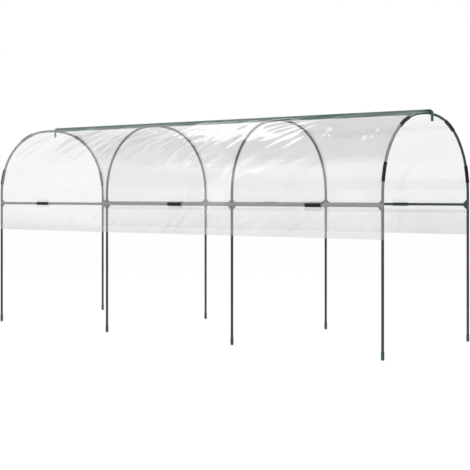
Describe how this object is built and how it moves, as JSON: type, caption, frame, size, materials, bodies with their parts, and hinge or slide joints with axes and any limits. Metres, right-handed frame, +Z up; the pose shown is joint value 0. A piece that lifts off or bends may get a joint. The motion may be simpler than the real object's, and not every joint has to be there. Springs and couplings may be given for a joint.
{
  "type": "tunnel greenhouse",
  "caption": "Walk-in tunnel greenhouse: arched steel tube frame on capped legs, covered by a sheet of clear film that snap clips hold, open at the ends and below the hem.",
  "frame": {"origin": "centre of the footprint on the ground", "axes": "+X along the tunnel, +Y across it to the far side, +Z up"},
  "size_m": [3.9606, 1.3026, 1.7462],
  "materials": {
    "painted_tube": "satin dark green paint",
    "coated_bar": "green plastic coating",
    "moulded_connector": "moulded, dark green",
    "foot_cap": "moulded, green",
    "snap_clip": "extruded, black",
    "clear_film": "clear film with a milky sheen"
  },
  "bodies": {
    "root": {"arch_1_far": "painted_tube", "arch_1_near": "painted_tube", "arch_2_far": "painted_tube", "arch_2_near": "painted_tube", "arch_3_far": "painted_tube", "arch_3_near": "painted_tube", "arch_4_far": "painted_tube", "arch_4_near": "painted_tube", "crown_cross_2": "moulded_connector", "crown_cross_3": "moulded_connector", "crown_purlin_1": "painted_tube", "crown_purlin_2": "painted_tube", "crown_purlin_3": "painted_tube", "crown_tee_1": "moulded_connector", "crown_tee_4": "moulded_connector", "film_cover": "clear_film", "foot_cap_1_far": "foot_cap", "foot_cap_1_near": "foot_cap", "foot_cap_2_far": "foot_cap", "foot_cap_2_near": "foot_cap", "foot_cap_3_far": "foot_cap", "foot_cap_3_near": "foot_cap", "foot_cap_4_far": "foot_cap", "foot_cap_4_near": "foot_cap", "hoop_clip_1_far_high": "snap_clip", "hoop_clip_1_far_low": "snap_clip", "hoop_clip_1_near_high": "snap_clip", "hoop_clip_1_near_low": "snap_clip", "hoop_clip_4_far_high": "snap_clip", "hoop_clip_4_far_low": "snap_clip", "hoop_clip_4_near_high": "snap_clip", "hoop_clip_4_near_low": "snap_clip", "leg_1_far": "painted_tube", "leg_1_near": "painted_tube", "leg_2_far": "painted_tube", "leg_2_near": "painted_tube", "leg_3_far": "painted_tube", "leg_3_near": "painted_tube", "leg_4_far": "painted_tube", "leg_4_near": "painted_tube", "rail_clip_far_2": "snap_clip", "rail_clip_far_3": "snap_clip", "rail_clip_near_1": "snap_clip", "rail_clip_near_2": "snap_clip", "rail_clip_near_3": "snap_clip", "rail_cross_2_far": "moulded_connector", "rail_cross_2_near": "moulded_connector", "rail_cross_3_far": "moulded_connector", "rail_cross_3_near": "moulded_connector", "rail_tee_1_far": "moulded_connector", "rail_tee_1_near": "moulded_connector", "rail_tee_4_far": "moulded_connector", "rail_tee_4_near": "moulded_connector", "ridge_bar": "coated_bar", "side_rail_far_1": "painted_tube", "side_rail_far_2": "painted_tube", "side_rail_far_3": "painted_tube", "side_rail_near_1": "painted_tube", "side_rail_near_2": "painted_tube", "side_rail_near_3": "painted_tube"}
  },
  "joints": []
}
